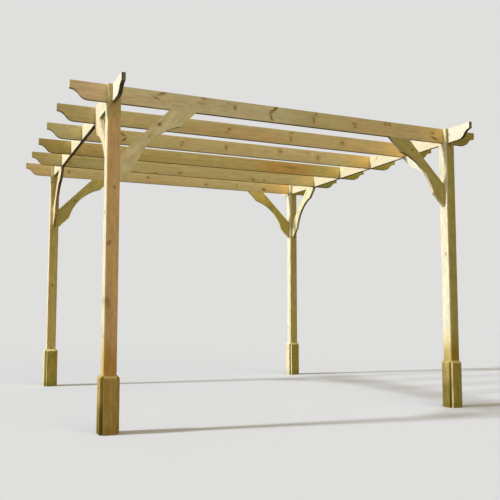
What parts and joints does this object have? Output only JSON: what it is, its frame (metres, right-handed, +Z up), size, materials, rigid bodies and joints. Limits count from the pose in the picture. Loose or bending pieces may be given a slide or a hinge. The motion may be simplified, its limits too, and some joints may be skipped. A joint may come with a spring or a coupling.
{
  "type": "wooden pergola",
  "caption": "Free-standing wooden pergola: square slotted posts, side beams and rafters with shaped ends halved flush, curved corner braces and boxed post skirts.",
  "frame": {"origin": "on the ground, in the middle between the four posts", "axes": "+X to the right along the rafters, +Y to the back along the side beams, +Z up"},
  "size_m": [3.55, 3.55, 2.4],
  "materials": {
    "roof_timber": "planed softwood, matt",
    "brace_timber": "planed softwood, matt",
    "post_timber": "planed softwood, matt",
    "skirt_timber": "planed softwood, matt",
    "fixings": "zinc-plated screws"
  },
  "bodies": {
    "root": {"left_beam": "roof_timber", "right_beam": "roof_timber", "rafter_1": "roof_timber", "rafter_2": "roof_timber", "rafter_3": "roof_timber", "rafter_4": "roof_timber", "rafter_5": "roof_timber", "rafter_6": "roof_timber", "front_left_post": "post_timber", "front_left_rafter_brace": "brace_timber", "front_left_beam_brace": "brace_timber", "front_left_skirt_front": "skirt_timber", "front_left_skirt_back": "skirt_timber", "front_left_skirt_left": "skirt_timber", "front_left_skirt_right": "skirt_timber", "front_right_post": "post_timber", "front_right_rafter_brace": "brace_timber", "front_right_beam_brace": "brace_timber", "front_right_skirt_front": "skirt_timber", "front_right_skirt_back": "skirt_timber", "front_right_skirt_left": "skirt_timber", "front_right_skirt_right": "skirt_timber", "back_left_post": "post_timber", "back_left_rafter_brace": "brace_timber", "back_left_beam_brace": "brace_timber", "back_left_skirt_front": "skirt_timber", "back_left_skirt_back": "skirt_timber", "back_left_skirt_left": "skirt_timber", "back_left_skirt_right": "skirt_timber", "back_right_post": "post_timber", "back_right_rafter_brace": "brace_timber", "back_right_beam_brace": "brace_timber", "back_right_skirt_front": "skirt_timber", "back_right_skirt_back": "skirt_timber", "back_right_skirt_left": "skirt_timber", "back_right_skirt_right": "skirt_timber"}
  },
  "joints": []
}
